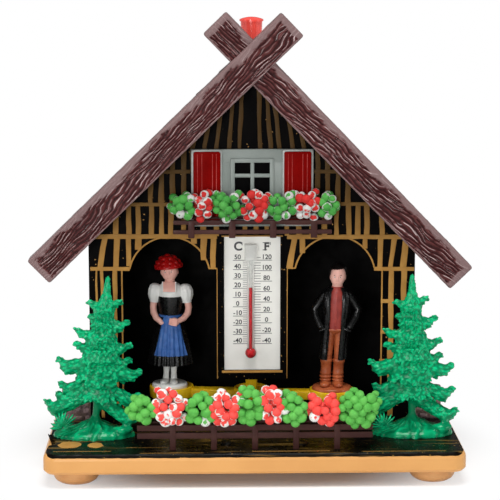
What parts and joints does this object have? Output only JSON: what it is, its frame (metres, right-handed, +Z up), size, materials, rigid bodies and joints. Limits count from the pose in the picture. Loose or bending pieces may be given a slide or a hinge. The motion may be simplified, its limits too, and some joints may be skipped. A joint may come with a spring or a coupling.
{
  "type": "weather house",
  "caption": "Alpine weather house with arched doorways, a swinging beam with a woman and a man, a scale thermometer, crossed gable logs, a chimney knob, balcony, fence and fir trees.",
  "frame": {"origin": "on the standing surface under the middle of the base", "axes": "+Z up, doorways facing -Y, +X to the right as the doorways are seen from the front"},
  "size_m": [0.16, 0.086, 0.1625],
  "materials": {
    "tan_plastic": "moulded, satin gloss",
    "black_foil": "black stamped foil over tan plastic",
    "black_plastic": "plain moulded",
    "brown_plastic": "moulded, satin",
    "log_brown": "moulded bark grain, satin gloss",
    "red_plastic": "glossy, a little translucent",
    "washer_steel": "plain spring steel",
    "gut": "dried gut, twisted",
    "yellow_plastic": "moulded, glossy",
    "painted_figure": "moulded and painted by hand",
    "card_white": "printed, glossy",
    "tube_glass": "clear, smooth",
    "red_spirit": "dyed spirit",
    "white_plastic": "moulded, glossy",
    "shutter_red": "painted, glossy",
    "flower_paint": "white plastic dabbed with red and green paint",
    "tree_green": "moulded, glossy",
    "wall_stone": "moulded stone courses"
  },
  "bodies": {
    "house": {"base_plate": "tan_plastic", "base_feet": "tan_plastic", "front_wall": "black_foil", "left_side_wall": "brown_plastic", "right_side_wall": "brown_plastic", "back_panel": "black_plastic", "left_roof_panel": "brown_plastic", "right_roof_panel": "brown_plastic", "ridge_beam": "brown_plastic", "left_gable_log": "log_brown", "right_gable_log": "log_brown", "chimney_saddle": "brown_plastic", "thermometer_card": "card_white", "thermometer_tube": "tube_glass", "spirit_column": "red_spirit", "tube_clip": "white_plastic", "window_frame": "white_plastic", "left_shutter": "shutter_red", "right_shutter": "shutter_red", "balcony_rail": "log_brown", "balcony_flowers": "flower_paint", "garden_fence": "log_brown", "fence_flowers": "flower_paint", "left_tree": "tree_green", "right_tree": "tree_green", "left_garden_wall": "wall_stone", "right_garden_wall": "wall_stone"},
    "chimney": {"chimney_knob": "red_plastic", "spindle_washer": "washer_steel"},
    "beam": {"figure_beam": "yellow_plastic", "woman_figure": "painted_figure", "man_figure": "painted_figure", "gut_strand": "gut"}
  },
  "joints": [
    {"name": "beam_swing", "type": "hinge", "parent": "house", "child": "beam", "pos_m": [0, 0.011, 0.02], "axis": [0, 0, 1], "range_deg": [-31.5, 44.5], "stiffness_Nm_per_rad": 0.00003},
    {"name": "chimney_turn", "type": "hinge", "parent": "house", "child": "chimney", "pos_m": [0, 0.011, 0.15], "axis": [0, 0, 1], "continuous": true}
  ]
}
